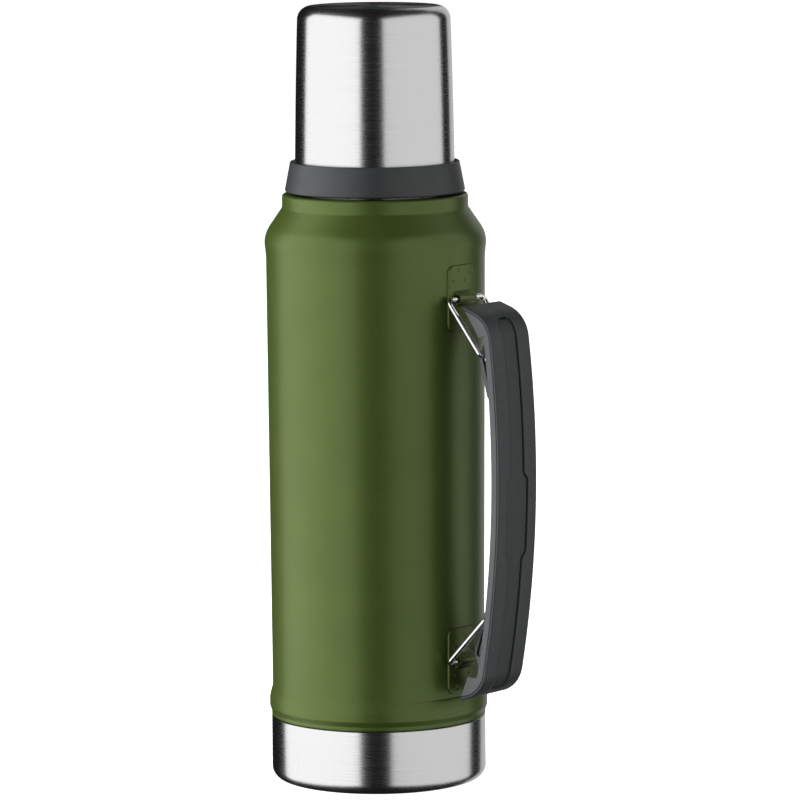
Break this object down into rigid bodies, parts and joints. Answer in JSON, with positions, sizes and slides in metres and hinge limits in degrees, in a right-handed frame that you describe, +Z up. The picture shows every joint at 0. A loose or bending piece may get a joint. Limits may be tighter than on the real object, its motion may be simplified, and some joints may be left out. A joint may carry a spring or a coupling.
{
  "type": "vacuum flask",
  "caption": "Double-walled steel vacuum flask with a screw-in stopper, a steel drinking cup over it and a side handle hung on two bent wire bails.",
  "frame": {"origin": "on the flask's axis, in the plane its steel base rests on", "axes": "+Z up along the flask's axis, +X from the axis towards the side handle, +Y completes the right-handed frame"},
  "size_m": [0.1257, 0.0966, 0.3392],
  "materials": {
    "green_paint": "satin olive-green enamel over steel, light orange-peel texture",
    "brushed_steel": "brushed round the axis, satin",
    "dull_steel": "dull mill finish",
    "inner_steel": "fine satin, electropolished",
    "solder": "dull cast bead",
    "copper_foil": "thin wrinkled foil, satin",
    "bright_wire": "bright drawn wire",
    "handle_grey": "moulded, fine matte grain",
    "handle_dark": "moulded, fine matte grain",
    "soft_band": "soft-touch rubber",
    "screw_steel": "zinc-plated",
    "stopper_black": "moulded, satin",
    "foam_core": "fine-celled foam",
    "seal_rubber": "smooth silicone",
    "liner_grey": "smooth moulded, satin",
    "collar_dark": "moulded, fine matte grain"
  },
  "bodies": {
    "flask": {"outer_shell": "green_paint", "base_cup": "brushed_steel", "vacuum_bottom": "dull_steel", "vacuum_plug": "solder", "getter": "dull_steel", "inner_vessel": "inner_steel", "foil_wrap": "copper_foil", "neck_tube": "inner_steel", "upper_bracket": "green_paint", "lower_bracket": "green_paint"},
    "upper_bail": {"upper_bail": "bright_wire"},
    "lower_bail": {"lower_bail": "bright_wire"},
    "handle": {"handle_frame": "handle_grey", "handle_cover": "handle_dark", "grip_insert": "soft_band", "handle_screws": "screw_steel"},
    "stopper": {"stopper_body": "stopper_black", "stopper_knob": "stopper_black", "stopper_foam": "foam_core", "stopper_gasket": "seal_rubber"},
    "cup": {"cup_shell": "brushed_steel", "cup_liner": "liner_grey", "cup_collar": "collar_dark", "cup_seal": "seal_rubber"}
  },
  "joints": [
    {"name": "stopper_lift", "type": "slide", "parent": "flask", "child": "stopper", "axis": [0, 0, 1], "range_m": [0, 0.08]},
    {"name": "cup_lift", "type": "slide", "parent": "stopper", "child": "cup", "axis": [0, 0, 1], "range_m": [0, 0.1]},
    {"name": "handle_fold", "type": "slide", "parent": "flask", "child": "handle", "axis": [-0.8226, 0, 0.5686], "range_m": [0, 0.00729]},
    {"name": "upper_bail_swing", "type": "hinge", "parent": "flask", "child": "upper_bail", "pos_m": [0.0492, 0, 0.2148], "axis": [0, 1, 0], "range_deg": [0, 10]},
    {"name": "lower_bail_swing", "type": "hinge", "parent": "flask", "child": "lower_bail", "pos_m": [0.0482, 0, 0.0566], "axis": [0, 1, 0], "range_deg": [-15, 0]}
  ],
  "couplings": [
    {"joint": "upper_bail_swing", "follows": "handle_fold", "rad_per_m": 23.33},
    {"joint": "lower_bail_swing", "follows": "handle_fold", "rad_per_m": -35.18}
  ]
}
